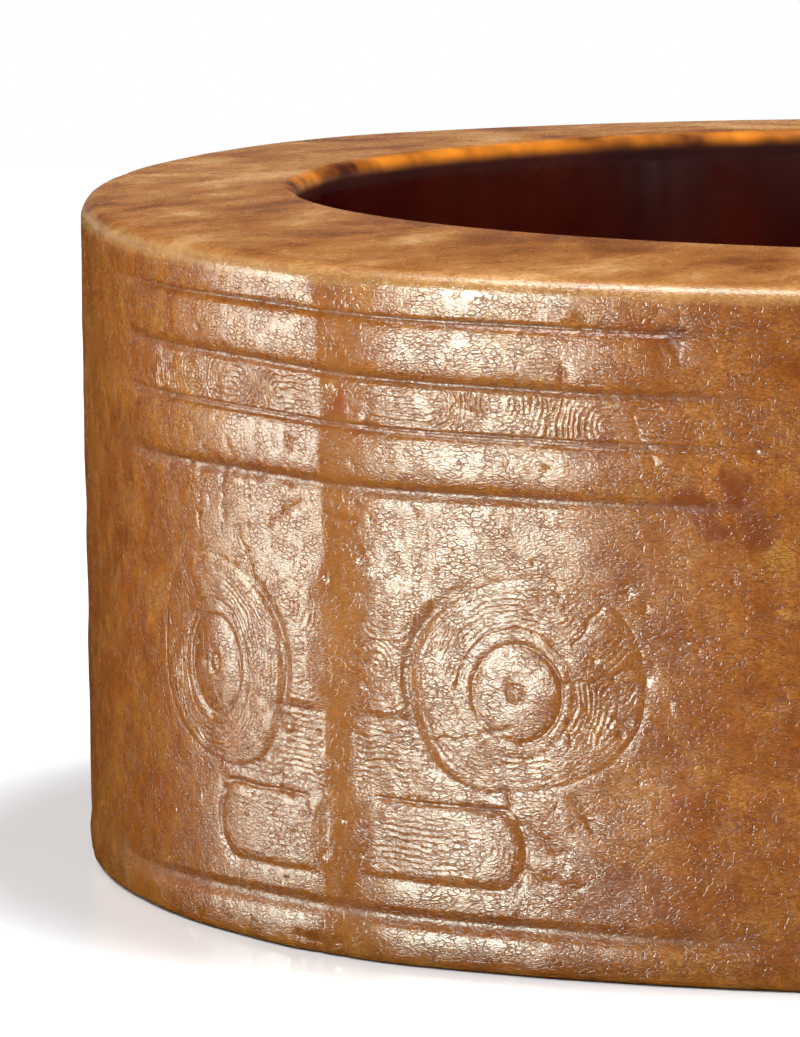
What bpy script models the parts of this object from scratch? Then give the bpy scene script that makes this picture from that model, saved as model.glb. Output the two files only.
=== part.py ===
"""A low, bracelet-like jade cong, carved in one piece.

The block stands on its flat underside, with its bore along +Z and the origin on the bore's axis at
the underside. Seen from above it is a square whose faces bow so far out that the corners are blunt.
Grooves and raised bands run right round it below the upper collar, and a mask sits astride each
corner: two eyes, the bridge of the nose between them, and a bar on each side below.
"""

import math

import bmesh
import bpy
import numpy as np

MM = 0.001

# The block
HEIGHT = 35.0 * MM  # underside to the rim of the bore
HALF_WIDTH = 50.2 * MM  # axis to the middle of a face, at mid height
CORNER = 37.5 * MM  # from the corner to either middle plane, at mid height
SQUARENESS = 0.19  # share of a face's bow that gathers towards its corners
TAPER = 0.010  # how much wider the top is than the underside
BORE_RADIUS = 39.1 * MM
BORE_EDGE = 0.8 * MM  # rounding of the bore's rims
TOP_EDGE = 0.9 * MM  # rounding of the outer rim
FOOT_EDGE = 0.5 * MM  # rounding of the foot
RIM_DROP = 0.56 * MM  # how far the outer rim lies below the bore's rim
RIM_LEAN = 0.34 * MM  # extra drop at the front, and as much less at the back

# The corner's flat bevel, as a width to each side
MASK_BEVEL = 0.9 * MM
BAND_BEVEL = 1.4 * MM
COLLAR_BEVEL = 2.6 * MM

# Grooves that run round the block, as (height, half width, depth)
FOOT_GROOVE = (2.4 * MM, 0.42 * MM, 0.30 * MM)
MASK_GROOVE = (23.45 * MM, 0.36 * MM, 0.25 * MM)
SCROLL_GROOVE = (26.3 * MM, 0.16 * MM, 0.15 * MM)
MIDDLE_GROOVE = (28.85 * MM, 0.36 * MM, 0.25 * MM)
COLLAR_GROOVE = (31.75 * MM, 0.20 * MM, 0.25 * MM)
BAND_CROWN = 0.18 * MM  # how far the two raised bands stand out
BAND_SHOULDER = 0.55 * MM  # height over which a band rises to its crown

# The mask, as distances along the face from the corner and heights above the underside
EYE_CENTRE = (10.6 * MM, 14.2 * MM)
EYE_RADII = (6.5 * MM, 5.0 * MM)
EYE_TILT = math.radians(12)
PUPIL_CENTRE = (10.4 * MM, 13.8 * MM)
PUPIL_RADIUS = 2.4 * MM
PUPIL_GROOVE = 0.3 * MM  # half width of the ring drilled round the pupil
BRIDGE_HEIGHTS = (12.2 * MM, 19.6 * MM)
BRIDGE_REACH = (5.4 * MM, 4.6 * MM)  # from the corner, at its foot and at its top
BAR_HEIGHTS = (4.1 * MM, 8.1 * MM)
BAR_REACH = 10.8 * MM
RELIEF_START = 1.0 * MM  # the mask's low relief stops this far from the corner
RELIEF = 0.34 * MM  # how far the mask stands out from the face
RELIEF_ROOT = 1.2 * MM  # how deep its solids are rooted in the block

COLUMNS = 16  # vertical edges to a face
EYE_POINTS = 28
SHAPE_POINTS = 16

FACE_SAMPLES = np.linspace(-CORNER, CORNER, 2001)


def face_depth(across):
    """Distance of a face from the axis, at a distance across it from its middle line."""
    u = across / CORNER
    bow = (1 - SQUARENESS) * u**2 + SQUARENESS * u**4
    return HALF_WIDTH - (HALF_WIDTH - CORNER) * bow


def face_turn(across):
    """Angle by which a face's outward normal has turned towards its corner."""
    u = across / CORNER
    slope = 2 * (1 - SQUARENESS) * u + 4 * SQUARENESS * u**3
    return np.arctan((HALF_WIDTH - CORNER) / CORNER * slope)


STEPS = np.hypot(np.diff(FACE_SAMPLES), np.diff(face_depth(FACE_SAMPLES)))
ARC = np.concatenate([[0.0], np.cumsum(STEPS)])  # length along the face from its first corner
FACE_LENGTH = ARC[-1]
CORNER_BREAK = math.radians(45) - face_turn(CORNER)  # half the angle by which the corner turns


def on_face(arc, height, offset):
    """Points on the front face: an arc length from its -X corner, a height, an outward offset."""
    across = np.interp(arc, ARC, FACE_SAMPLES)
    turn = face_turn(across)
    size = 1 + TAPER * (height / HEIGHT - 0.5)
    x = across * size + np.sin(turn) * offset
    y = -face_depth(across) * size - np.cos(turn) * offset
    return x, y


def bevel_inset(arc, width):
    """How far the corner's flat bevel lies inside the face, near either end of the face."""
    to_corner = np.minimum(arc, FACE_LENGTH - arc)
    return math.tan(CORNER_BREAK) * np.maximum(width - to_corner, 0)


def turned(x, y, quarter):
    """The points turned about the axis by a number of quarter turns."""
    cos, sin = round(math.cos(quarter * math.pi / 2)), round(math.sin(quarter * math.pi / 2))
    return cos * x - sin * y, sin * x + cos * y


def rim_height(y):
    """Height of the outer rim, which leans a little towards the front."""
    return HEIGHT - RIM_DROP + RIM_LEAN * y / HALF_WIDTH


def groove(place, before=0.0, after=0.0):
    """The rows of one groove, as (height, offset): its lower lip, its bottom and its upper lip."""
    height, half_width, depth = place
    return [(height - half_width, before), (height, -depth), (height + half_width, after)]


def raised_band(low, high):
    """The rows of the crown of a band between two grooves."""
    return [(low + BAND_SHOULDER, BAND_CROWN), (high - BAND_SHOULDER, BAND_CROWN)]


def outer_rows():
    """(height, offset, bevel) of each ring of points up the outside, below the top rounding."""
    foot = [(0.0, -FOOT_EDGE), (0.3 * FOOT_EDGE, -0.3 * FOOT_EDGE), (FOOT_EDGE, 0.0)]
    rows = [(z, offset, COLLAR_BEVEL) for z, offset in foot + groove(FOOT_GROOVE)[:2]]
    mask = groove(FOOT_GROOVE)[2:] + groove(MASK_GROOVE)[:2]
    rows += [(z, offset, MASK_BEVEL) for z, offset in mask]
    shoulder = 0.2 * BAND_CROWN
    lower = groove(MASK_GROOVE, after=shoulder)[2:]
    lower += raised_band(lower[0][0], SCROLL_GROOVE[0])
    lower += groove(SCROLL_GROOVE, before=shoulder)
    rows += [(z, offset, MASK_BEVEL) for z, offset in lower]
    upper = groove(MIDDLE_GROOVE, after=shoulder)
    upper += raised_band(upper[2][0], COLLAR_GROOVE[0])
    upper += groove(COLLAR_GROOVE, before=shoulder)[:2]
    rows += [(z, offset, BAND_BEVEL) for z, offset in upper]
    return rows + [(COLLAR_GROOVE[0] + COLLAR_GROOVE[1], 0.0, COLLAR_BEVEL)]


def ring_of_block(height, offset, bevel):
    """One ring of points round the outside of the block."""
    inner = np.linspace(COLLAR_BEVEL * 1.2, FACE_LENGTH - COLLAR_BEVEL * 1.2, COLUMNS - 2)
    arc = np.concatenate([[MASK_BEVEL], inner, [FACE_LENGTH - MASK_BEVEL]])
    x, y = on_face(arc, height, offset - bevel_inset(arc, bevel))
    faces = [turned(x, y, quarter) for quarter in range(4)]
    return np.concatenate([f[0] for f in faces]), np.concatenate([f[1] for f in faces])


def block_rings():
    """Every ring of the block, up the outside, over the top, down the bore and under the foot."""
    rings = []
    for height, offset, bevel in outer_rows():
        x, y = ring_of_block(height, offset, bevel)
        rings.append((x, y, np.full(len(x), height)))
    for below, offset in ((1.0, 0.0), (0.3, -0.3), (0.0, -1.0)):
        x, y = ring_of_block(HEIGHT, offset * TOP_EDGE, COLLAR_BEVEL)
        rings.append((x, y, rim_height(y) - below * TOP_EDGE))
    angle = np.arctan2(y, x)
    rim = [(1.0, 0.0), (0.3, 0.3), (0.0, 1.0)]
    bore = [(out, HEIGHT - down * BORE_EDGE) for out, down in rim]
    bore += [(out, down * BORE_EDGE) for out, down in reversed(rim)]
    for out, height in bore:
        radius = BORE_RADIUS + out * BORE_EDGE
        rings.append((radius * np.cos(angle), radius * np.sin(angle), np.full(len(x), height)))
    return rings


def mesh_object(name, vertices, faces, collection):
    """A mesh object in a collection, with its faces turned outwards."""
    mesh = bpy.data.meshes.new(name)
    mesh.from_pydata([tuple(map(float, v)) for v in vertices], [], faces)
    shaped = bmesh.new()
    shaped.from_mesh(mesh)
    bmesh.ops.recalc_face_normals(shaped, faces=shaped.faces[:])
    shaped.to_mesh(mesh)
    shaped.free()
    obj = bpy.data.objects.new(name, mesh)
    collection.objects.link(obj)
    return obj


def quads_between(first, second, count):
    """Quads that join two closed loops of points, given the index of each loop's first point."""
    faces = []
    for i in range(count):
        j = (i + 1) % count
        faces.append((first + i, first + j, second + j, second + i))
    return faces


def make_block(collection):
    """The bored block with its collars, grooves and raised bands."""
    rings = block_rings()
    count = len(rings[0][0])
    vertices = [point for ring in rings for point in zip(*ring)]
    faces = []
    for i in range(len(rings)):
        faces += quads_between(i * count, (i + 1) % len(rings) * count, count)
    return mesh_object("cong", vertices, faces, collection)


def eye_loops():
    """An eye's loops, from its root to its pupil, as (arc, height, offset)."""
    t = np.linspace(0, 2 * math.pi, EYE_POINTS, endpoint=False)
    across, up = np.cos(t) * EYE_RADII[0], np.sin(t) * EYE_RADII[1]
    arc = across * math.cos(EYE_TILT) - up * math.sin(EYE_TILT)
    height = across * math.sin(EYE_TILT) + up * math.cos(EYE_TILT)
    loops = []
    for scale, offset in ((1.0, -RELIEF_ROOT), (1.0, 0.3 * RELIEF), (0.95, RELIEF)):
        loops.append((EYE_CENTRE[0] + scale * arc, EYE_CENTRE[1] + scale * height, offset))
    for radius, offset in ((1, RELIEF), (0, 0.1 * RELIEF), (-1, RELIEF)):
        reach = PUPIL_RADIUS + radius * PUPIL_GROOVE
        arc = PUPIL_CENTRE[0] + reach * np.cos(t + EYE_TILT)
        height = PUPIL_CENTRE[1] + reach * np.sin(t + EYE_TILT)
        loops.append((arc, height, offset))
    return loops, (*PUPIL_CENTRE, RELIEF)


def rounded_loops(corners, roundings):
    """A flat relief shape's loops: a polygon with each corner rounded by its own radius."""
    arc, height = [], []
    per_corner = SHAPE_POINTS // len(corners)
    for i, (corner, radius) in enumerate(zip(corners, roundings)):
        before = np.subtract(corners[i - 1], corner)
        after = np.subtract(corners[(i + 1) % len(corners)], corner)
        start = corner + before / np.hypot(*before) * radius
        end = corner + after / np.hypot(*after) * radius
        for t in np.linspace(0, 1, per_corner):
            arc.append((1 - t) ** 2 * start[0] + 2 * t * (1 - t) * corner[0] + t**2 * end[0])
            height.append((1 - t) ** 2 * start[1] + 2 * t * (1 - t) * corner[1] + t**2 * end[1])
    arc, height = np.array(arc), np.array(height)
    middle = (arc.mean(), height.mean())
    loops = []
    for scale, offset in ((1.0, -RELIEF_ROOT), (1.0, 0.3 * RELIEF), (0.92, RELIEF)):
        loop_arc = middle[0] + scale * (arc - middle[0])
        loops.append((loop_arc, middle[1] + scale * (height - middle[1]), offset))
    return loops, (*middle, RELIEF)


def bar_loops():
    """The bar beside the nose, square at the corner and round at its outer end."""
    low, high = BAR_HEIGHTS
    corners = [(RELIEF_START, low), (BAR_REACH, low), (BAR_REACH, high), (RELIEF_START, high)]
    return rounded_loops(corners, [0.4 * MM, 2.0 * MM, 1.8 * MM, 0.4 * MM])


def bridge_loops():
    """One side of the bridge of the nose, which runs out to meet the eye."""
    low, high = BRIDGE_HEIGHTS
    foot, top = BRIDGE_REACH
    corners = [(RELIEF_START, low), (foot, low + 0.1 * MM), (top, high - 0.6 * MM)]
    corners.append((RELIEF_START, high))
    return rounded_loops(corners, [0.4 * MM, 0.6 * MM, 0.8 * MM, 0.4 * MM])


def make_relief(name, shape, quarter, mirrored, collection):
    """One solid of the mask, rooted in the block and proud of its face."""
    loops, (arc, height, offset) = shape
    loops = loops + [(np.array([arc]), np.array([height]), offset)]
    vertices = []
    for loop_arc, loop_height, loop_offset in loops:
        x, y = on_face(loop_arc, loop_height, loop_offset)
        if mirrored:
            x, y = y, x
        x, y = turned(x, y, quarter)
        vertices += list(zip(x, y, loop_height))
    count = len(loops[0][0])
    faces = [tuple(range(count))]
    for i in range(len(loops) - 2):
        faces += quads_between(i * count, (i + 1) * count, count)
    last = (len(loops) - 2) * count
    faces += [(last + i, last + (i + 1) % count, last + count) for i in range(count)]
    obj = mesh_object(name, vertices, faces, collection)
    obj.hide_render = True
    obj.display_type = "WIRE"
    return obj


def make_masks(collection):
    """The relief of the four masks, two mirrored halves to a corner."""
    shapes = {"eye": eye_loops(), "bridge": bridge_loops(), "bar": bar_loops()}
    for quarter in range(4):
        for mirrored in (False, True):
            side = "left" if mirrored else "right"
            for name, shape in shapes.items():
                make_relief(f"{name}_{quarter}_{side}", shape, quarter, mirrored, collection)


def polished_jade():
    """Honey-brown jade with a soft polish."""
    material = bpy.data.materials.new("polished_brown_jade")
    material.use_nodes = True
    shader = material.node_tree.nodes["Principled BSDF"]
    shader.inputs["Base Color"].default_value = (0.36, 0.145, 0.038, 1.0)
    shader.inputs["Roughness"].default_value = 0.32
    shader.inputs["Metallic"].default_value = 0.0
    shader.inputs["IOR"].default_value = 1.61
    return material


def clear_scene():
    """Removes whatever the scene holds."""
    for obj in list(bpy.data.objects):
        bpy.data.objects.remove(obj, do_unlink=True)


def main():
    clear_scene()
    part = bpy.data.collections.new("jade_cong")
    relief = bpy.data.collections.new("mask_relief")
    for collection in (part, relief):
        bpy.context.scene.collection.children.link(collection)
    cong = make_block(part)
    make_masks(relief)
    carving = cong.modifiers.new("mask_relief", "BOOLEAN")
    carving.operation = "UNION"
    carving.solver = "EXACT"
    carving.operand_type = "COLLECTION"
    carving.collection = relief
    cong.data.materials.append(polished_jade())
    cong.data.shade_smooth()
    cong.data.set_sharp_from_angle(angle=math.radians(25))


main()
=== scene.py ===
"""The looks of a low jade cong, carved in one, standing on a pale studio floor.

The stone is worked as one closed surface: a profile (foot, wall, rim, top, bore, underside) carried
round the block's bowed outline, with the bands, the masks and the wear carved into the wall as
depths. Lengths are in millimetres until they are put into the mesh.
"""

import math

import bpy
import numpy as np
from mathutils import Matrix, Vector


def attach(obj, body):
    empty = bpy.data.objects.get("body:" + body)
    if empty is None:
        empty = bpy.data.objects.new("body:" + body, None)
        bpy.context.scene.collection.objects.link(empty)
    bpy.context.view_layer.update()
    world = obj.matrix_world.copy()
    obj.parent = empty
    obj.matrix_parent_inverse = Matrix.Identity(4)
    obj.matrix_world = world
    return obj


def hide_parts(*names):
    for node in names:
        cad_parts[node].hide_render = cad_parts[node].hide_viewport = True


MM = 0.001

# The block, as built
HEIGHT = 35.0
HALF_WIDTH = 50.2  # axis to the middle of a face, at mid height
CORNER = 37.5  # from the corner to either middle plane, at mid height
SQUARENESS = 0.19  # share of a face's bow that gathers towards its corners
TAPER = 0.010  # how much wider the top is than the underside
BORE_RADIUS = 39.1
BORE_EDGE = 0.8
TOP_EDGE = 0.9
FOOT_EDGE = 0.5
RIM_DROP = 0.56  # how far the outer rim lies below the bore's
RIM_LEAN = 0.34  # how much further at the front, and less far at the back

ACROSS = np.linspace(-CORNER, CORNER, 4001)


def face_depth(across):
    """Distance of a face from the axis: a bow of a square and a fourth power of the distance."""
    u = across / CORNER
    return HALF_WIDTH - (HALF_WIDTH - CORNER) * ((1 - SQUARENESS) * u**2 + SQUARENESS * u**4)


def face_turn(across):
    """Angle of a face's normal from its middle: the arc tangent of the bow's slope."""
    u = across / CORNER
    slope = 2 * (1 - SQUARENESS) * u + 4 * SQUARENESS * u**3
    return np.arctan((HALF_WIDTH - CORNER) / CORNER * slope)


ARC = np.concatenate([[0.0], np.cumsum(np.hypot(np.diff(ACROSS), np.diff(face_depth(ACROSS))))])
FACE = ARC[-1]  # length of a face from corner to corner
BREAK = math.tan(math.radians(45) - face_turn(CORNER))  # slope by which a face meets its corner


def smooth(x, low, high):
    """Rises from 0 at low to 1 at high along a cubic with level ends."""
    t = np.clip((x - low) / (high - low), 0, 1)
    return t * t * (3 - 2 * t)


def bell(x, centre, width):
    """A bell of height 1: the exponential of minus the squared distance over the width."""
    return np.exp(-(((x - centre) / width) ** 2))


def waves(points, size, seed, count=18):
    """Even, seamless unevenness of about unit height: a sum of waves in seeded directions."""
    rng = np.random.default_rng(seed)
    way = rng.normal(size=(3, count))
    way /= np.linalg.norm(way, axis=0)
    pitch = size * rng.uniform(0.7, 1.6, count)
    turns = points @ (way * (2 * math.pi / pitch)) + rng.uniform(0, 2 * math.pi, count)
    return np.sin(turns).sum(-1) * math.sqrt(2 / count)


def sway(s, z, size, seed):
    """Unevenness over the unrolled wall, of about unit height: the same sum of waves."""
    s, z = np.broadcast_arrays(s, z)
    return waves(np.stack([s, z, 0 * z], -1), size, seed, 14)


# --- The carving, as depths on the wall: s runs along a face from the corner's ridge -------------

def raised(x, low, high, shoulder):
    """1 between two edges and 0 outside, with a shoulder of that width inside each edge."""
    return smooth(x, low, low + shoulder) * (1 - smooth(x, high - shoulder, high))


def cut(distance, half_width):
    """A round-bottomed groove, 1 at its middle: a squared parabola of the distance from it."""
    return np.clip(1 - (distance / half_width) ** 2, 0, 1) ** 2


def strokes(phase, pitch):
    """Rows of fine engraved lines, 1 in each line: a sharpened cosine of the phase."""
    return (0.5 + 0.5 * np.cos(2 * math.pi * phase / pitch)) ** 1.6


# A ring groove's height at the ridge, its swing round the block, its dip away from the ridge
GROOVES = {
    "foot": (2.45, 0.0, -0.35),
    "mask": (23.45, -0.05, 0.0),
    "scroll": (26.4, -0.22, 0.0),
    "middle": (28.9, -0.3, 0.0),
    "collar": (31.85, -0.15, 0.0),
}


def groove_height(name, s, swing):
    """Height of a ring groove: level, plus a sine and a half sine of the place along the face."""
    level, lean, dip = GROOVES[name]
    turn = math.pi * s / FACE
    return level + lean * swing * np.sin(2 * turn) + dip * np.abs(np.sin(turn))


def bands(s, z, swing, seed):
    """(heights above the plain face, share of ring groove) of the collars, bands and grooves."""
    inner = 1 - smooth(np.abs(s), 19.0, 25.0)
    wander = 0.03 * inner * sway(s, 0.0, 9.0, seed)
    at = {name: groove_height(name, s, swing) + wander for name in GROOVES}
    total = np.zeros(np.broadcast(s, z).shape)
    faded = 1 - smooth(np.abs(s), 16.0, 27.0)
    for low, high in (("mask", "scroll"), ("middle", "collar")):
        t = (z - at[low]) / (at[high] - at[low])
        total += 0.18 * faded * np.clip(1 - np.abs(2 * t - 1) ** 2.6, 0, 1)
    worn = (1 - 0.6 * bell(s, 0.4, 1.7)) * (0.90 + 0.16 * inner * sway(s, 0.0, 4.0, seed + 1))
    worn *= faded
    spread = 1.5 - 0.5 * faded
    grooves = [(0.20, z - at["foot"], 0.62), (0.14, z - at["mask"] + 0.06, 0.50),
               (0.11, z - at["scroll"] - 0.08, 0.15), (0.09, z - at["scroll"] + 0.12, 0.13),
               (0.16, z - at["middle"], 0.38), (0.17, z - at["collar"], 0.26)]
    for depth, distance, half_width in grooves:
        total -= depth * worn * cut(distance, half_width * spread)
    total += 0.10 * bell(z, 1.25, 0.75) * (z < at["foot"])
    in_groove = sum(cut(distance, half_width * 1.15) for _, distance, half_width in grooves)
    return total, np.clip(in_groove, 0, 1) * (0.3 + 0.7 * faded)


# One side of a mask: lengths along the face from the ridge and heights above the foot, the pitch of
# its fine lines, how much bolder it is cut, and how deep the eye's outline is away from the nose
RIGHT_SIDE = {
    "eye": (10.75, 14.25, 6.35, 5.05, 14),  # centre, half width, half height, tilt in degrees
    "pupil": (10.4, 13.85, 2.42),
    "scrolls": ((2.95, 17.3), (2.4, 14.6)),
    "ovals": (),
    "lines": (8.5, 12.1, 9.5),
    "seam": 0.018,
    "bar": (10.8, 4.15, 8.1),
    "band": ((3.6, 2.4, 0.0), (9.4, 0.05, 0.3), (17.4, 2.2, -0.3)),
    "pitch": 0.3,
    "bold": 1.0,
    "outlined": 0.0,
}
LEFT_SIDE = {
    "eye": (10.45, 13.8, 6.2, 5.0, 12),
    "pupil": (10.7, 13.5, 2.5),
    "scrolls": ((3.9, 17.3), (2.8, 14.1)),
    "ovals": ((4.0, 11.2),),
    "lines": (8.2, 12.0, 8.5),
    "seam": 0.04,
    "bar": (10.4, 4.0, 7.75),
    "band": ((2.8, 1.8, 0.0), (9.0, 1.0, 0.0), (12.8, 0.1, 0.1)),
    "pitch": 0.3,
    "bold": 1.0,
    "outlined": 0.0,
}
PLAIN_SIDE = {
    "eye": (10.6, 14.0, 6.3, 5.0, 13),
    "pupil": (10.5, 13.7, 2.45),
    "scrolls": ((3.2, 17.2), (2.7, 14.5)),
    "ovals": (),
    "lines": (8.6, 12.0, 9.0),
    "seam": 0.07,
    "bar": (10.6, 4.1, 8.0),
    "band": ((3.4, 2.2, 0.0), (10.0, 0.3, 0.0), (17.0, 2.0, 0.0)),
    "pitch": 0.62,
    "bold": 1.7,
    "outlined": 0.8,
}

# Old cracks in the front corner's carving, as chains of places (along the face, height)
CRACKS = (
    ((9.9, 9.3), (10.0, 8.3)),
    ((10.5, 7.4), (11.5, 7.2), (12.1, 6.6), (13.0, 6.1)),
    ((13.3, 9.0), (13.6, 8.8), (14.1, 8.4)),
    ((14.0, 8.0), (14.4, 7.3)),
    ((12.8, 14.5), (14.2, 14.7), (15.6, 15.2), (17.2, 15.4)),
    ((18.0, 17.0), (19.2, 16.8)),
    ((13.6, 16.4), (14.4, 17.6), (15.0, 18.4)),
    ((5.6, 11.3), (8.0, 11.6), (9.0, 12.0), (10.0, 12.1)),
    ((9.3, 32.7), (10.7, 33.1), (11.1, 33.5)),
    ((13.1, 30.0), (12.9, 28.8)),
    ((16.6, 27.6), (17.1, 26.4), (17.9, 25.3)),
    ((-0.6, 21.9), (1.0, 21.6)),
    ((10.7, 5.5), (11.7, 4.8), (14.0, 4.6)),
    ((-5.5, 21.0), (-4.0, 21.7), (-2.5, 22.5)),
    ((-3.8, 25.7), (-3.3, 25.3), (-3.1, 24.7)),
    ((-7.9, 27.9), (-6.9, 27.1)),
    ((-8.4, 20.2), (-7.2, 19.3), (-6.9, 18.2)),
)
# Pits: place along the face, height, radius, depth
PITS = (
    (3.4, 22.3, 0.30, 0.04), (3.9, 21.7, 0.25, 0.04),
    (1.9, 26.6, 0.30, 0.05), (1.2, 27.2, 0.25, 0.04), (2.5, 26.1, 0.25, 0.04),
    (18.3, 31.9, 0.35, 0.12), (18.5, 31.2, 0.35, 0.14), (18.2, 30.7, 0.25, 0.10),
    (16.2, 12.9, 0.3, 0.08), (17.3, 14.9, 0.35, 0.09), (8.5, 8.2, 0.45, 0.08),
    (-6.3, 23.5, 0.40, 0.10), (-7.7, 23.2, 0.3, 0.09), (-9.9, 23.1, 0.3, 0.09),
    (-8.6, 23.7, 0.3, 0.08), (-10.4, 22.2, 0.35, 0.06), (-5.2, 22.8, 0.3, 0.07),
    (-3.3, 23.2, 0.3, 0.08), (-11.6, 23.4, 0.4, 0.08), (-8.3, 20.4, 0.3, 0.08),
    (-1.4, 7.0, 0.5, 0.09), (-10.2, 6.1, 0.4, 0.07), (-16.9, 26.6, 0.3, 0.07),
)


def egg(t, z, centre, half, tilt):
    """Distance from an eye's middle over its reach: a turned super-ellipse of power 2.4."""
    cos, sin = math.cos(math.radians(tilt)), math.sin(math.radians(tilt))
    p, q = t - centre[0], z - centre[1]
    along, up = p * cos + q * sin, q * cos - p * sin
    return ((np.abs(along) / half[0]) ** 2.4 + (np.abs(up) / half[1]) ** 2.4) ** (1 / 2.4)


def box_depth(t, z, box, rounding):
    """Depth inside a box with rounded corners: less than 0 outside it."""
    p = np.abs(t - (box[0] + box[1]) / 2) - (box[1] - box[0]) / 2 + rounding
    q = np.abs(z - (box[2] + box[3]) / 2) - (box[3] - box[2]) / 2 + rounding
    return rounding - np.hypot(np.maximum(p, 0), np.maximum(q, 0)) - np.minimum(np.maximum(p, q), 0)


def mask(t, z, hand, side):
    """(relief, grooves, engraving) of half a mask, t from the ridge: hand is the lines' wander."""
    relief = np.zeros(t.shape)
    grooves = np.zeros(t.shape)
    lines = np.zeros(t.shape)
    pitch = side["pitch"]
    fine = 0.034 * (pitch / 0.3) ** 0.5
    off_ridge = smooth(t, 0.8, 2.3)

    # The eye: a low disc, grooved on the nose's side, rings round the pupil, then outline lines
    cx, cz, half_wide, half_high, tilt = side["eye"]
    reach = (half_wide + half_high) / 2
    edge = (1 - egg(t, z, (cx, cz), (half_wide, half_high), tilt)) * reach
    px, pz, ring = side["pupil"]
    from_pupil = np.hypot(t - px, z - pz)
    around = np.arctan2(z - pz, t - px)
    nose = np.maximum(smooth(cx - t, 1.2, 5.0), side["outlined"])
    relief += (0.03 + 0.06 * nose) * smooth(edge, -0.3, 1.0)
    grooves += 0.07 * nose * cut(edge + 0.2, 0.6)
    grooves += 0.025 * cut(edge + 0.04, 0.14)
    fine_edge, fine_pupil = edge + 0.6 * hand, from_pupil + hand
    inside = smooth(edge, 0.2, 0.5)
    rings = strokes(fine_pupil - ring, pitch * 0.9) * smooth(from_pupil, ring + 0.35, ring + 0.6)
    rings *= 1 - smooth(from_pupil, 4.7, 5.1)
    follow = strokes(fine_edge, pitch) * smooth(from_pupil, 4.7, 5.1)
    canthus = raised(t - px + z - pz, 4.4, 9.0, 0.6) * smooth(t - px - (z - pz), -2.2, -1.4)
    slant = strokes((t - z) * math.sqrt(0.5) + hand, pitch * 1.1)
    follow += (slant - follow) * canthus * smooth(from_pupil, 3.9, 4.3)
    lines += inside * (rings * (1 - canthus) + follow) * fine
    grooves += 0.085 * cut(from_pupil - ring, 0.20) * (0.5 + 0.5 * smooth(np.cos(around), -0.3, 0.9))
    grooves += 0.020 * cut(from_pupil - ring - 0.75, 0.16)
    relief += 0.08 * np.clip(1 - (from_pupil / (ring - 0.15)) ** 2, 0, 1)
    grooves += 0.055 * cut(from_pupil - 0.42, 0.13)

    # The bridge of the nose, under a slanting edge, with two spirals
    top = 19.9 - 0.29 * t
    beside_eye = 1 - smooth(edge, -0.45, -0.15)
    bridge = smooth(z, 12.2, 12.6) * (1 - smooth(z, top - 0.3, top + 0.4)) * (1 - smooth(t, 5.4, 6.4))
    relief += 0.08 * bridge * beside_eye * off_ridge
    turned = []
    for sx, sz in side["scrolls"]:
        reach = np.hypot((t - sx) / 1.25, z - sz)
        turned.append((reach, reach + hand - pitch * np.arctan2(z - sz, t - sx) / (2 * math.pi)))
    phase = np.where(turned[0][0] < turned[1][0], turned[0][1], turned[1][1])
    lines += bridge * beside_eye * off_ridge * strokes(phase, pitch) * fine
    grooves += side["seam"] * cut(z - 12.1, 0.17) * raised(t, 0.8, 5.2, 0.4)
    for ox, oz in side["ovals"]:
        grooves += 0.05 * cut(np.hypot((t - ox) / 1.3, z - oz) - 0.5, 0.12)

    # Level lines between the bridge and the bar
    low, high, far = side["lines"]
    level = raised(z, low, high, 0.15) * raised(t, 0.95, far, 0.3) * (edge < -0.1)
    lines += level * strokes(z - low + hand, pitch) * fine

    # The bar below the nose, open at the ridge, with lines that repeat its outline
    outer, low, high = side["bar"]
    bar = box_depth(t, z, (-3.0, outer, low, high), 1.9)
    relief += 0.09 * smooth(bar, -0.05, 0.6) * off_ridge
    grooves += 0.07 * cut(z - high - 0.06, 0.16) * raised(t, 2.0, outer - 0.5, 0.6)
    grooves += 0.055 * cut(bar + 0.12, 0.26) * smooth(t, outer - 4.5, outer - 1.5)
    grooves += 0.035 * cut(z - low, 0.34) * raised(t, 1.2, outer - 0.8, 0.8)
    lines += smooth(bar, 0.3, 0.5) * off_ridge * strokes(bar - 0.1 + hand, pitch) * fine * 0.8
    return relief * side["bold"], grooves * side["bold"], lines * side["bold"]


def scroll_band(t, z, hand, low, high, side):
    """Nested long loops between two grooves: lines round a row of short level strokes."""
    middle = (low + high) / 2
    nearest = np.full(t.shape, 99.0)
    for place, half, lift in side["band"]:
        along = np.maximum(np.abs(t - place) - half, 0)
        nearest = np.minimum(nearest, np.hypot(along, z - middle - lift))
    on_band = raised(z, low + 0.25, high - 0.25, 0.1) * smooth(t, 1.0, 2.4)
    on_band = on_band * (1 - smooth(t, 23.5, 26.0))
    depth = 0.055 * (side["pitch"] / 0.3) ** 0.5
    return on_band * strokes(nearest - 0.1 + hand, side["pitch"]) * depth


def cracks(s, z):
    """Depth of the cracks: a groove along each chain, by distance to its nearest stretch."""
    s, z = s + 0.07 * sway(s, z, 0.9, 61), z + 0.07 * sway(s, z, 0.9, 62)
    depth = np.zeros(s.shape)
    for chain in CRACKS:
        for (s0, z0), (s1, z1) in zip(chain, chain[1:]):
            length = math.hypot(s1 - s0, z1 - z0)
            t = np.clip(((s - s0) * (s1 - s0) + (z - z0) * (z1 - z0)) / length**2, 0, 1)
            distance = np.hypot(s - s0 - t * (s1 - s0), z - z0 - t * (z1 - z0))
            depth = np.maximum(depth, 0.05 * cut(distance, 0.085))
    return depth


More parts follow.
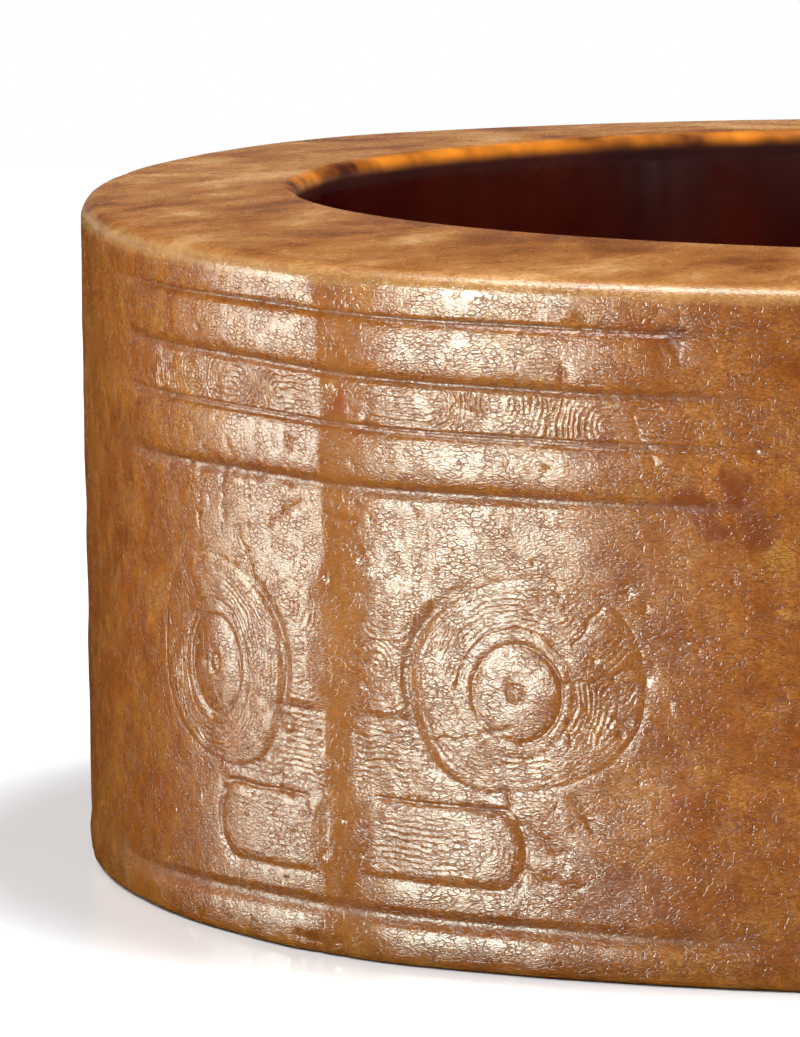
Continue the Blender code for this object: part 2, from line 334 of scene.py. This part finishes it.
def pits(s, z):
    """Depth of the pits: a bell at each, its reach bent by unevenness."""
    bend = 1 + 0.35 * sway(s, z, 0.8, 63)
    depth = np.zeros(bend.shape)
    for place, height, radius, deep in PITS:
        depth = np.maximum(depth, 0.7 * deep * bell(np.hypot(s - place, z - height) * bend, 0, radius))
    return depth


# Width of the ridge's flat on the right, by height: it widens over the foot, the brow and the collars
FLAT_HEIGHTS = (0.0, 2.5, 5.0, 8.0, 16.5, 20.5, 23.0, 26.0, 29.0, 31.5, 33.5)
FLAT_WIDTHS = (2.6, 2.2, 1.2, 0.9, 0.9, 1.9, 2.3, 2.0, 2.2, 2.8, 4.0)


def bevel(s, z):
    """(depth, share) of the flat on the corner's ridge: crisp on the left and eased on the right.

    The flat is a plane from one width on the left to another on the right: its depth at the ridge
    is the corner's whole turn times the two widths' product over their sum. A parabola eases each
    edge, from a share of the width to as far beyond it.
    """
    right = np.interp(z, FLAT_HEIGHTS, FLAT_WIDTHS)
    left = 1.0 + 1.0 * smooth(z, 31.5, 33.5) + 0.8 * (1 - smooth(z, 0.5, 2.5))
    width = np.where(s > 0, right, left)
    slope = 2 * BREAK * (right + left - width) / (right + left)
    away = np.abs(s) / width
    start = np.where(s > 0, 0.2, 0.75)
    eased = np.maximum(2 - start - away, 0) ** 2 / (4 * (1 - start))
    edge = width - np.abs(s) + 0.25 * sway(s, z, 1.2, 71)
    share = smooth(edge, np.where(s > 0, -0.5 * right, -0.5), np.where(s > 0, 0.5 * right, 0.5))
    return slope * width * np.where(away < start, 1 - away, eased), share


def carve(s, z, quarter):
    """(height above the plain face, depth of the cuts darkened by dirt and, on the plain corners,
    painted shade, share rubbed smooth) at one corner.
    """
    swing = (1.0, 0.5, -0.6, -0.9)[quarter]
    seed = 200 * (quarter + 1)
    low, high = groove_height("scroll", s, swing), groove_height("middle", s, swing)
    shape, in_groove = bands(s, z, swing, seed)
    flat, share = bevel(s, z)
    shape = shape - flat
    lines = np.zeros(shape.shape)
    dirt_and_shade = 0.07 * in_groove
    hand_s = s + 0.03 * sway(s, z, 3.0, seed + 11)
    hand_z = z + 0.03 * sway(s, z, 3.0, seed + 12)
    hand = 0.06 * sway(s, z, 1.3, seed + 13)
    for sign, fine_side in ((1, RIGHT_SIDE), (-1, LEFT_SIDE)):
        side = fine_side if quarter == 0 else PLAIN_SIDE
        here = (s * sign > 0)[0]
        t = np.abs(hand_s)[:, here]
        height = hand_z[:, here]
        relief, grooves, engraved = mask(t, height, hand[:, here], side)
        shape[:, here] += relief - grooves
        # the cuts' dirt, made bolder on the plain corners: painted shade, so their masks show under
        # flat light
        dirt_and_shade[:, here] += 0.5 * grooves * side["bold"]
        lines[:, here] += engraved
        lines[:, here] += scroll_band(t, height, hand[:, here], low[:, here], high[:, here], side)
    worn = 0.60 + 0.32 * sway(s, z, 4.0, seed + 21) + 0.32 * sway(s, z, 0.9, seed + 22)
    lines *= np.clip(worn, 0.35, 1.1)
    if quarter == 0:
        lost = np.maximum(cracks(s, z), pits(s, z)) * (1 - smooth(z, 32.3, 33.0))
        chip = raised(s, -3.8, 0.3, 0.6) * (1 - smooth(z, 0.5, 1.2))
        shape -= 0.22 * chip * np.clip(0.7 + 0.4 * sway(s, z, 1.1, 51), 0, 1.2)
        lines = np.maximum(lines, lost)
    return shape - lines, dirt_and_shade + lines, np.maximum(share, 0.2 * in_groove)


# --- The surface ---------------------------------------------------------------------------------

def steps(marks):
    """Places from mark to mark, each stretch (end, spacing) with its own even spacing."""
    places = [np.array([marks[0][0]])]
    for (start, _), (end, spacing) in zip(marks, marks[1:]):
        count = max(1, round((end - start) / spacing))
        places.append(np.linspace(start, end, count + 1)[1:])
    return np.concatenate(places)


def wall_base(s, z, quarter):
    """A point and outward normal of the plain wall, s along the face from a corner's ridge."""
    across = np.interp(np.abs(s), ARC, ACROSS)
    size = 1 + TAPER * (z / HEIGHT - 0.5)
    turn = face_turn(across)
    x, y = across * size, -face_depth(across) * size
    nx, ny = np.broadcast_arrays(np.sin(turn), -np.cos(turn) + 0 * z)[0:2]
    flip = np.broadcast_to(s < 0, x.shape)
    x, y = np.where(flip, y, x), np.where(flip, x, y)
    nx, ny = np.where(flip, ny, nx), np.where(flip, nx, ny)
    cos, sin = ((1, 0), (0, 1), (-1, 0), (0, -1))[quarter]
    return cos * x - sin * y, sin * x + cos * y, cos * nx - sin * ny, sin * nx + cos * ny


WALL_ROWS = steps(((0.5, 0), (2.0, 0.15), (23.8, 0.065), (26.0, 0.12), (28.9, 0.065), (33.1, 0.1)))
FINE_COLUMNS = steps(
    ((-FACE / 2, 0), (-24, 0.4), (-17.5, 0.15), (17.5, 0.065), (26, 0.11), (FACE / 2, 0.4))
)[:-1]
PLAIN_COLUMNS = steps(((-FACE / 2, 0), (-18, 0.4), (18, 0.2), (FACE / 2, 0.4)))[:-1]


def wall_rings():
    """Rows of points up the wall, with (depth of the cuts darkened by dirt and painted shade, rubbed)
    at each.
    """
    parts = []
    for quarter in range(4):
        s = (FINE_COLUMNS if quarter == 0 else PLAIN_COLUMNS)[None, :]
        z = WALL_ROWS[:, None]
        shape, held, rubbed = carve(s, z, quarter)
        x, y, nx, ny = wall_base(s, z, quarter)
        points = np.stack([x, y, np.broadcast_to(z, x.shape)], -1)
        out = shape + 0.020 * waves(points, 5.0, 21) + 0.006 * waves(points, 1.6, 22)
        points[..., 0] += nx * out
        points[..., 1] += ny * out
        parts.append(np.concatenate([points, held[..., None], rubbed[..., None]], -1))
    rings = np.concatenate(parts, 1)
    return rings[..., :3], rings[..., 3:]


def block_rings():
    """The whole closed surface: wall, outer rim, top, bore and underside, row after row."""
    wall, marks = wall_rings()
    x, y = wall[-1, :, 0], wall[-1, :, 1]
    rim = HEIGHT - RIM_DROP + RIM_LEAN * y / HALF_WIDTH
    radius, angle = np.hypot(x, y), np.arctan2(y, x)
    rows = list(wall)

    def ring(distance, height):
        rows.append(np.stack([distance * np.cos(angle), distance * np.sin(angle),
                              np.broadcast_to(height, angle.shape)], -1))

    for a in np.radians(np.arange(0, 91, 9)):
        ring(radius - TOP_EDGE * (1 - math.cos(a)), rim - TOP_EDGE * (1 - math.sin(a)))
    outer, inner = radius - TOP_EDGE, BORE_RADIUS + BORE_EDGE
    for t in np.linspace(0, 1, 15)[1:-1]:
        ring(outer + (inner - outer) * t, rim + (HEIGHT - rim) * t)
    for a in np.radians(np.arange(90, -1, -9)):
        down = BORE_EDGE * (1 - math.sin(a))
        ring(BORE_RADIUS + BORE_EDGE * (1 - math.cos(a)), HEIGHT - down)
    for height in np.linspace(HEIGHT - BORE_EDGE, BORE_EDGE, 18)[1:-1]:
        ring(BORE_RADIUS, height)
    for a in np.radians(np.arange(0, 91, 15)):
        ring(BORE_RADIUS + BORE_EDGE * (1 - math.cos(a)), BORE_EDGE * (1 - math.sin(a)))
    foot = np.hypot(wall[0, :, 0], wall[0, :, 1]) - FOOT_EDGE
    for t in np.linspace(0, 1, 6)[1:-1]:
        ring(inner + (foot - inner) * t, 0.0)
    for a in np.radians(np.arange(90, 0, -15)):
        ring(foot + FOOT_EDGE * math.cos(a), FOOT_EDGE * (1 - math.sin(a)))
    points = np.array(rows)
    whole = np.zeros(points.shape[:2] + (2,))
    whole[: len(marks)] = marks
    whole[len(marks) :, :, 1] = 0.85
    return points, whole


def closed_grid(name, points, values, names):
    """A mesh of quads from rows and columns of points that both close on themselves."""
    rows, columns = points.shape[:2]
    index = np.arange(rows * columns, dtype=np.int32).reshape(rows, columns)
    along, up = np.roll(index, -1, 1), np.roll(index, -1, 0)
    quads = np.stack([index, along, np.roll(along, -1, 0), up], -1).reshape(-1, 4)
    mesh = bpy.data.meshes.new(name)
    mesh.vertices.add(rows * columns)
    mesh.vertices.foreach_set("co", (points * MM).astype(np.float32).ravel())
    mesh.loops.add(quads.size)
    mesh.loops.foreach_set("vertex_index", quads.ravel())
    mesh.polygons.add(len(quads))
    mesh.polygons.foreach_set("loop_start", np.arange(0, quads.size, 4, dtype=np.int32))
    for number, attribute in enumerate(names):
        layer = mesh.attributes.new(attribute, "FLOAT", "POINT")
        layer.data.foreach_set("value", values[..., number].astype(np.float32).ravel())
    mesh.update(calc_edges=True)
    mesh.validate()
    return mesh


def carve_block():
    """The stone: a very fine grid, thinned where the surface is plain."""
    points, marks = block_rings()
    mesh = closed_grid("cong_fine", points, marks, ("engraved", "rubbed"))
    fine = bpy.data.objects.new("cong_fine", mesh)
    bpy.context.scene.collection.objects.link(fine)
    thin = fine.modifiers.new("thin", "DECIMATE")
    thin.ratio = 190000 / (2 * len(mesh.polygons))
    graph = bpy.context.evaluated_depsgraph_get()
    stone = bpy.data.meshes.new_from_object(fine.evaluated_get(graph))
    bpy.data.objects.remove(fine)
    stone.name = "jade_cong"
    stone.shade_smooth()
    block = bpy.data.objects.new("jade_cong", stone)
    bpy.context.scene.collection.objects.link(block)
    return block


# --- Finishes ------------------------------------------------------------------------------------

# Stains and spots by the front corner: along the face, height, radius, colour, strength
STAINS = (
    (0.5, 15.0, 17.0, "84521E", 0.6),
    (19.6, 23.3, 0.9, "682C11", 0.75), (20.4, 22.2, 0.8, "682C14", 0.7),
    (21.8, 24.2, 1.0, "652811", 0.75), (22.9, 22.5, 1.1, "632609", 0.7),
    (20.6, 24.3, 0.8, "AE6625", 0.6), (18.5, 31.3, 0.7, "591B11", 0.8),
    (16.9, 32.0, 0.9, "823E14", 0.6), (3.4, 22.1, 0.8, "8A471E", 0.6),
    (2.0, 26.5, 0.8, "7A3611", 0.7), (0.6, 27.1, 0.7, "883C11", 0.6),
    (15.6, 4.6, 1.7, "723E23", 0.55), (14.2, 3.7, 1.0, "824D32", 0.5),
    (16.9, 3.3, 0.9, "783411", 0.6), (18.5, 8.3, 1.2, "924D17", 0.5),
    (18.3, 16.8, 0.8, "7E4D2B", 0.5), (24.2, 18.3, 0.6, "BB8738", 0.6),
    (23.9, 20.8, 0.9, "A6762B", 0.6), (22.0, 9.6, 1.0, "B67835", 0.4),
    (19.6, 13.6, 0.8, "8A4716", 0.4), (21.6, 12.9, 1.0, "8C4916", 0.4),
    (22.8, 27.4, 1.2, "8C4F16", 0.5), (24.0, 4.6, 1.6, "955D20", 0.5),
    (-23.0, 18.7, 1.4, "6C380F", 0.6), (-22.4, 22.7, 1.3, "7A4214", 0.6),
    (-19.0, 32.4, 1.8, "72380E", 0.5), (-22.4, 26.0, 1.5, "A66C22", 0.6),
    (-18.9, 14.6, 0.7, "B67628", 0.6), (-18.0, 8.6, 1.5, "9E6C23", 0.5),
    (-14.8, 31.4, 0.8, "7A3811", 0.6), (-18.0, 6.0, 1.6, "8A4318", 0.5),
    (-25.0, 1.8, 1.4, "785732", 0.5), (-13.0, 19.4, 1.4, "945520", 0.4),
    (-8.8, 10.2, 1.1, "AE6C3A", 0.4), (-22.8, 7.4, 0.9, "9A703C", 0.4),
    (-6.4, 23.4, 0.8, "78380F", 0.7), (-9.8, 23.0, 0.8, "783811", 0.6),
)


def linear(hex_colour):
    """A linear colour from sRGB hex digits, each channel by the standard's curve."""
    channels = [int(hex_colour[i : i + 2], 16) / 255 for i in (0, 2, 4)]
    return [c / 12.92 if c <= 0.04045 else ((c + 0.055) / 1.055) ** 2.4 for c in channels] + [1.0]


def node(tree, kind, inputs=(), out=0, stops=(), **settings):
    """Adds a node and gives one of its output sockets. Settings are its properties, stops the places
    and colours of a ramp, and inputs the values of its sockets, or the sockets that feed them."""
    made = tree.nodes.new("ShaderNode" + kind)
    for name, value in settings.items():
        setattr(made, name, value)
    for _ in stops[2:]:
        made.color_ramp.elements.new(0.5)
    for index, (position, colour) in enumerate(stops):
        made.color_ramp.elements[index].position = position
        made.color_ramp.elements[index].color = linear(colour)
    for name, value in dict(inputs).items():
        if isinstance(value, bpy.types.NodeSocket):
            tree.links.new(value, made.inputs[name])
        else:
            made.inputs[name].default_value = value
    return made.outputs[out]


TIMES = {"operation": "MULTIPLY"}
PLUS = {"operation": "ADD"}
EASED = {"interpolation_type": "SMOOTHSTEP"}
TINT = {"data_type": "RGBA", "out": 2}


def new_material(name):
    """A material with its node tree and its shader."""
    material = bpy.data.materials.new(name)
    material.use_nodes = True
    return material, material.node_tree, material.node_tree.nodes["Principled BSDF"]


# Unevenness of the stone: size in mm, detail, roughness, distortion, how much finer it is in
# height than across, and how far it is moved so that no two are alike
UNEVEN = {
    "clouds": (13.0, 4.0, 0.60, 0.6, 1.0, 0.0),
    "mottle": (2.4, 5.0, 0.65, 0.4, 1.0, 0.0),
    "top": (5.5, 4.0, 0.58, 0.2, 1.0, 4.0),
    "grain": (0.45, 2.0, 0.70, 0.0, 1.0, 0.0),
    "stain edge": (2.5, 3.0, 0.65, 0.0, 1.0, 0.0),
    "crack bend": (0.5, 1.0, 0.50, 0.0, 1.0, 0.0),
    "crack runs": (0.9, 2.0, 0.55, 0.0, 1.0, 9.0),
    "crack patches": (2.2, 3.0, 0.60, 0.0, 1.0, 0.0),
    "bore streaks": (9.0, 3.0, 0.50, 0.0, 0.35, 0.0),
    "bore edge": (6.0, 3.0, 0.60, 0.0, 1.0, 0.0),
    "wrinkle": (0.16, 2.0, 0.60, 0.2, 1.7, 0.0),
    "swell": (0.9, 2.0, 0.50, 0.0, 1.0, 0.0),
    "polish": (1.0, 2.0, 0.55, 0.0, 1.0, 0.0),
}
STAIN_BEND = 4.0  # mm that the noise moves a stain's edge, from one extreme to the other
CRACK_CELL = 0.48  # mm across the cells whose borders are the skin cracks
CRACK_BEND = 0.28  # mm that the noise moves those borders
CRACK_FINER = 2.2  # times that a cell is wider than it is high
CREASE_SIZE = 0.31
CREASE_FINER = 2.3
CREASE_DEPTH = 0.006  # depths in mm, over the whole range of each pattern
WRINKLE_DEPTH = 0.004
SWELL_DEPTH = 0.030
CRACK_DEPTH = 0.012


def polished_jade():
    """Nephrite, ground and then rubbed to a soft polish, and long buried: a waxy stone, honey to
    russet in clouds, that lets a little light in at its edges. A skin of tiny plates with fine cracks
    between them breaks the polish up. The cracks and creases are painted darker as shade, the cuts
    hold dirt that is deepened into painted shade on the plain corners, the bore is painted dark as
    shade with a painted glow at its edge, and the outer rim's rounding carries a painted highlight."""
    material, tree, shader = new_material("polished_jade")
    place = node(tree, "TexCoord", out="Object")
    axes = node(tree, "SeparateXYZ", {0: place}).node.outputs
    engraved = node(tree, "Attribute", attribute_name="engraved", out="Fac")
    rubbed = node(tree, "Attribute", attribute_name="rubbed", out="Fac")
    uneven = {}
    for name, (size, detail, rough, bend, finer, shift) in UNEVEN.items():
        moved = node(tree, "VectorMath", {0: place, 1: (1, 1, finer), 2: [shift] * 3},
                     operation="MULTIPLY_ADD")
        uneven[name] = node(tree, "TexNoise", {"Vector": moved, "Scale": 1 / (size * MM),
                                               "Detail": detail, "Roughness": rough,
                                               "Distortion": bend})

    # Where the stone is: on the top, on the outside, on the outer rim's rounding
    on_top = node(tree, "MapRange", {0: axes["Z"], 1: 33.2 * MM, 2: 33.9 * MM}, **EASED)
    flat = node(tree, "CombineXYZ", {"X": axes["X"], "Y": axes["Y"]})
    radius = node(tree, "VectorMath", {0: flat}, operation="LENGTH", out="Value")
    outside = node(tree, "MapRange", {0: radius, 1: 39.3 * MM, 2: 40.0 * MM}, **EASED)
    above = node(tree, "MapRange", {0: axes["Z"], 1: 33.0 * MM, 2: 33.5 * MM}, **EASED)
    below = node(tree, "MapRange", {0: axes["Z"], 1: 33.8 * MM, 2: 34.2 * MM, 3: 1.0, 4: 0.0}, **EASED)
    painted_rim_highlight = node(tree, "Math", {0: above, 1: below}, **TIMES)

    # Clouds of colour, then mottling, the paler top, a painted highlight along the outer rim's
    # rounding, and fine grain
    body = node(tree, "ValToRGB", {0: uneven["clouds"]}, stops=(
        (0.30, "834214"), (0.44, "985720"), (0.56, "A86828"), (0.70, "A47432")))
    mottle = node(tree, "ValToRGB", {0: uneven["mottle"]}, stops=(
        (0.32, "6A320E"), (0.50, "9C6224"), (0.68, "BA8842")))
    body = node(tree, "Mix", {0: 0.45, 6: body, 7: mottle}, **TINT)
    tan = node(tree, "ValToRGB", {0: uneven["top"]}, stops=(
        (0.34, "5A3014"), (0.45, "865527"), (0.55, "986A38"), (0.67, "B68D5C")))
    share = node(tree, "Math", {0: on_top, 1: 0.85}, **TIMES)
    body = node(tree, "Mix", {0: share, 6: body, 7: tan}, **TINT)
    # painted highlight: the outer rim's rounding is painted paler, for the sheen and glow that light
    # makes on it
    share = node(tree, "Math", {0: painted_rim_highlight, 1: 0.5}, **TIMES)
    body = node(tree, "Mix", {0: share, 6: body, 7: linear("BE9860")}, **TINT)
    grain = node(tree, "ValToRGB", {0: uneven["grain"]}, stops=((0.30, "8C8C8C"), (0.70, "FFFFFF")))
    body = node(tree, "Mix", {0: 0.35, 6: body, 7: grain}, blend_type="MULTIPLY", **TINT)

    # Stains and pale spots, each with an edge broken up by noise
    shift = node(tree, "VectorMath", {0: uneven["stain edge"].node.outputs["Color"], 1: [0.5] * 3},
                 operation="SUBTRACT")
    broken = node(tree, "VectorMath", {0: shift, 1: [STAIN_BEND * MM] * 3, 2: place},
                  operation="MULTIPLY_ADD")
    for s, z, reach, colour, strength in STAINS:
        x, y = (float(v[0]) for v in wall_base(np.array([s]), np.array([z]), 0)[:2])
        away = node(tree, "VectorMath", {0: broken, 1: (x * MM, y * MM, z * MM)},
                    operation="DISTANCE", out="Value")
        share = node(tree, "MapRange", {0: away, 1: 0.5 * reach * MM, 2: 1.3 * reach * MM,
                                        3: strength, 4: 0.0}, **EASED)
        body = node(tree, "Mix", {0: share, 6: body, 7: linear(colour)}, **TINT)

    # Skin cracks: the borders of small flat cells, bent and broken into runs, in patches
    stir = node(tree, "VectorMath", {0: uneven["crack bend"].node.outputs["Color"],
                                     1: [CRACK_BEND * MM] * 3, 2: place}, operation="MULTIPLY_ADD")
    cells = node(tree, "VectorMath", {0: stir, 1: (1, 1, CRACK_FINER)}, **TIMES)
    border = node(tree, "TexVoronoi", {"Vector": cells, "Scale": 1 / (CRACK_CELL * MM)},
                  feature="DISTANCE_TO_EDGE", out="Distance")
    line = node(tree, "MapRange", {0: border, 1: 0.0, 2: 0.11, 3: 1.0, 4: 0.0}, **EASED)
    runs = node(tree, "MapRange", {0: uneven["crack runs"], 1: 0.40, 2: 0.52}, **EASED)
    patchy = node(tree, "MapRange", {0: uneven["crack patches"], 1: 0.34, 2: 0.58, 3: 0.5, 4: 1.0},
                  **EASED)
    skin = node(tree, "MapRange", {0: rubbed, 1: 0.0, 2: 1.0, 3: 1.0, 4: 0.55}, **EASED)
    skin = node(tree, "Math", {0: skin, 1: outside}, **TIMES)
    crack = node(tree, "Math", {0: runs, 1: patchy}, **TIMES)
    crack = node(tree, "Math", {0: line, 1: crack}, **TIMES)
    crack = node(tree, "Math", {0: crack, 1: skin}, **TIMES)
    # painted shade: the skin cracks are painted darker, for the sheen lost in them
    share = node(tree, "Math", {0: crack, 1: 0.85}, **TIMES)
    body = node(tree, "Mix", {0: share, 6: body, 7: linear("682E08")}, **TINT)

    # Creases between the cracks: the sharp valleys of a ridged noise, painted darker as shade; then
    # dirt in the cuts, deepened into painted shade on the plain corners
    drawn = node(tree, "VectorMath", {0: place, 1: (1, 1, CREASE_FINER)}, **TIMES)
    crease = node(tree, "TexNoise", {"Vector": drawn, "Scale": 1 / (CREASE_SIZE * MM), "Detail": 2.0,
                                     "Roughness": 0.6, "Offset": 1.0, "Gain": 2.0},
                  noise_type="RIDGED_MULTIFRACTAL")
    # painted shade: the creases are painted darker, for the sheen lost in them
    share = node(tree, "MapRange", {0: crease, 1: 1.05, 2: 1.6}, **EASED)
    share = node(tree, "Math", {0: share, 1: skin}, **TIMES)
    share = node(tree, "Math", {0: share, 1: 0.65}, **TIMES)
    body = node(tree, "Mix", {0: share, 6: body, 7: linear("6C3608")}, **TINT)
    # dirt in the cuts, deepened on the plain corners into painted shade
    dirt_and_shade = node(tree, "MapRange", {0: engraved, 1: 0.004, 2: 0.09}, **EASED)
    share = node(tree, "Math", {0: dirt_and_shade, 1: 0.55}, **TIMES)
    body = node(tree, "Mix", {0: share, 6: body, 7: linear("6E3A14")}, **TINT)

    # The bore's wall: painted shade below its rounded edge, and a painted glow along that edge
    # painted shade: the bore's wall painted dark red, as little light gets in
    painted_bore_shade = node(tree, "ValToRGB", {0: uneven["bore streaks"]}, stops=(
        (0.35, "270402"), (0.62, "3E0F06")))
    # painted glow: orange along the bore's top edge, for light shining through the stone
    edge = node(tree, "ValToRGB", {0: uneven["bore edge"]}, stops=((0.38, "3E1606"), (0.62, "BC6E16")))
    share = node(tree, "MapRange", {0: axes["Z"], 1: 34.0 * MM, 2: 34.7 * MM}, **EASED)
    painted_bore_shade_and_glow = node(tree, "Mix", {0: share, 6: painted_bore_shade, 7: edge}, **TINT)
    body = node(tree, "Mix", {0: outside, 6: painted_bore_shade_and_glow, 7: body}, **TINT)
    tree.links.new(body, shader.inputs["Base Color"])

    # The skin's relief, in millimetres
    height = node(tree, "Math", {0: crease, 1: -CREASE_DEPTH}, **TIMES)
    for name, depth in (("wrinkle", WRINKLE_DEPTH), ("swell", SWELL_DEPTH)):
        part = node(tree, "Math", {0: uneven[name], 1: depth}, **TIMES)
        height = node(tree, "Math", {0: height, 1: part}, **PLUS)
    height = node(tree, "Math", {0: height, 1: skin}, **TIMES)
    part = node(tree, "Math", {0: crack, 1: -CRACK_DEPTH}, **TIMES)
    height = node(tree, "Math", {0: height, 1: part}, **PLUS)
    normal = node(tree, "Bump", {"Height": height, "Strength": 1.0, "Distance": MM})
    tree.links.new(normal, shader.inputs["Normal"])

    # The polish: a little duller in dirt and cracks, and on the top and the bore's rounding
    gloss = node(tree, "MapRange", {0: uneven["polish"], 1: 0.3, 2: 0.7, 3: 0.13, 4: 0.20}, **EASED)
    above = node(tree, "MapRange", {0: axes["Z"], 1: 33.4 * MM, 2: 34.0 * MM}, **EASED)
    inside = node(tree, "MapRange", {0: outside, 1: 0.0, 2: 1.0, 3: 1.0, 4: 0.0}, **EASED)
    inside = node(tree, "Math", {0: inside, 1: on_top}, **TIMES)
    for where, duller in ((dirt_and_shade, 0.12), (above, 0.12), (crack, 0.12), (inside, 0.1)):
        part = node(tree, "Math", {0: where, 1: duller}, **TIMES)
        gloss = node(tree, "Math", {0: gloss, 1: part}, **PLUS)
    tree.links.new(gloss, shader.inputs["Roughness"])
    shader.inputs["IOR"].default_value = 1.61
    shader.inputs["Subsurface Weight"].default_value = 0.25
    shader.inputs["Subsurface Radius"].default_value = (1.0, 0.45, 0.2)
    shader.inputs["Subsurface Scale"].default_value = 0.8 * MM
    return material


def floor_paint():
    """White lacquered board, sprayed and flatted: even white, with a faint soft reflection."""
    material, _, shader = new_material("white_lacquer")
    shader.inputs["Base Color"].default_value = linear("F6F6F7")
    shader.inputs["Roughness"].default_value = 0.12
    shader.inputs["Specular IOR Level"].default_value = 0.35
    return material


# --- The studio ----------------------------------------------------------------------------------

def soft_light(name, place, aim, size, watts, sheen=False, colour="FFFFFF"):
    """A rectangular soft light that faces a point: a fill, or one that only makes sheen."""
    light = bpy.data.lights.new(name, "AREA")
    light.shape = "RECTANGLE"
    light.size, light.size_y = size[0] * MM, size[1] * MM
    light.energy = watts
    light.color = linear(colour)[:3]
    lamp = bpy.data.objects.new(name, light)
    lamp.location = Vector(place) * MM
    lamp.rotation_euler = (Vector(aim) - Vector(place)).to_track_quat("-Z", "Y").to_euler()
    lamp.visible_camera = False
    lamp.visible_glossy = sheen
    lamp.visible_diffuse = not sheen
    bpy.context.scene.collection.objects.link(lamp)


def around(azimuth, distance, height):
    """A point at an azimuth from -Y towards -X, and a distance, from the front corner."""
    a = math.radians(azimuth)
    return (-CORNER - distance * math.sin(a), -CORNER - distance * math.cos(a), height)


def studio():
    """Pale floor, tall soft lights on the left for sheen, fills, and the camera."""
    mesh = bpy.data.meshes.new("floor")
    reach = 0.45
    corners = [(-reach, -reach), (reach, -reach), (reach, reach), (-reach, reach)]
    mesh.from_pydata([(x, y, -0.03 * MM) for x, y in corners], [], [(0, 1, 2, 3)])
    mesh.materials.append(floor_paint())
    floor = bpy.data.objects.new("floor", mesh)
    bpy.context.scene.collection.objects.link(floor)
    floor.visible_glossy = False
    floor.visible_shadow = False

    corner = (-CORNER, -CORNER, 20)
    silver = "EEFFF4"
    soft_light("front_left", around(60, 420, 17), corner, (112, 164), 1.25, True, silver)
    soft_light("front_left_wide", around(59.5, 440, 17), corner, (262, 190), 0.85, True, "F4FFF6")
    soft_light("back_left", around(108, 420, 17), corner, (118, 164), 0.52, True, silver)
    soft_light("back_left_wide", around(111, 440, 17), corner, (180, 190), 0.31, True, "F4FFF6")
    soft_light("rim_strip", (-415, -100, 1000), (-30, -45, 35), (500, 450), 9.5, sheen=True)
    soft_light("key", (330, 0, 1100), (0, 0, 0), (450, 450), 24.0)
    soft_light("fill", around(55, 700, 1000), corner, (500, 500), 14.0)
    soft_light("side", around(120, 800, 350), corner, (400, 400), 3.0)

    world = bpy.data.worlds.new("studio")
    world.use_nodes = True
    tree = world.node_tree
    way = node(tree, "TexCoord", out="Generated")
    way = node(tree, "SeparateXYZ", {0: way}).node.outputs
    turn = node(tree, "Math", {0: way["Y"], 1: way["X"]}, operation="ARCTAN2")
    turn = node(tree, "Math", {0: turn, 1: 8.0}, **TIMES)
    turn = node(tree, "Math", {0: turn}, operation="COSINE")
    # A pale line along the horizon, and upright soft boxes below it on the right
    line = ((way["Z"], 0.0, 0.04, 0.0, 0.5), (way["Z"], 0.06, 0.12, 1.0, 0.06))
    boxes = ((turn, -0.6, 0.1, 3.2, 0.0), (way["X"], 0.55, 0.65, 0.0, 1.0),
             (way["Z"], -0.015, -0.05, 0.0, 1.0), (way["Z"], -0.38, -0.32, 0.0, 1.0))
    shine = []
    for factors in (line, boxes):
        product = 1.0
        for value, low, high, start, end in factors:
            factor = node(tree, "MapRange", {0: value, 1: low, 2: high, 3: start, 4: end})
            product = node(tree, "Math", {0: product, 1: factor}, **TIMES)
        shine.append(product)
    shiny = node(tree, "Math", {0: shine[0], 1: shine[1]}, **PLUS)
    path = node(tree, "LightPath").node.outputs
    seen = node(tree, "Mix", {0: path["Is Glossy Ray"], 2: 0.35, 3: shiny}, data_type="FLOAT")
    seen = node(tree, "Mix", {0: path["Is Camera Ray"], 2: seen, 3: 1.0}, data_type="FLOAT")
    tree.links.new(seen, tree.nodes["Background"].inputs["Strength"])
    tree.nodes["Background"].inputs["Color"].default_value = linear("FFFFFF")
    bpy.context.scene.world = world

    lens = bpy.data.cameras.new("camera")
    lens.lens = 347.1
    camera = bpy.data.objects.new("camera", lens)
    camera.location = Vector((-42.6, -522.7, 78.0)) * MM
    look = Vector((-33.66, 2.75, 17.11)) * MM - camera.location
    camera.rotation_euler = look.to_track_quat("-Z", "Y").to_euler()
    bpy.context.scene.collection.objects.link(camera)
    bpy.context.scene.camera = camera
    bpy.context.scene.view_settings.view_transform = "Standard"
    bpy.context.scene.cycles.max_bounces = 2
    bpy.context.scene.cycles.diffuse_bounces = 1
    bpy.context.scene.cycles.glossy_bounces = 1


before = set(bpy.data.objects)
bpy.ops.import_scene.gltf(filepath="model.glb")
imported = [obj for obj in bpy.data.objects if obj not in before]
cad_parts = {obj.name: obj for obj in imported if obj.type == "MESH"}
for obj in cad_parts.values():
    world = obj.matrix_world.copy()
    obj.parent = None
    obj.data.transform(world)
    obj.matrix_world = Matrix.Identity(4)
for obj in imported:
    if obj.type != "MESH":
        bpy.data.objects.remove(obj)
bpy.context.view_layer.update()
cong = carve_block()
cong.data.materials.append(polished_jade())
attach(cong, "root")
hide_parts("cong")
studio()
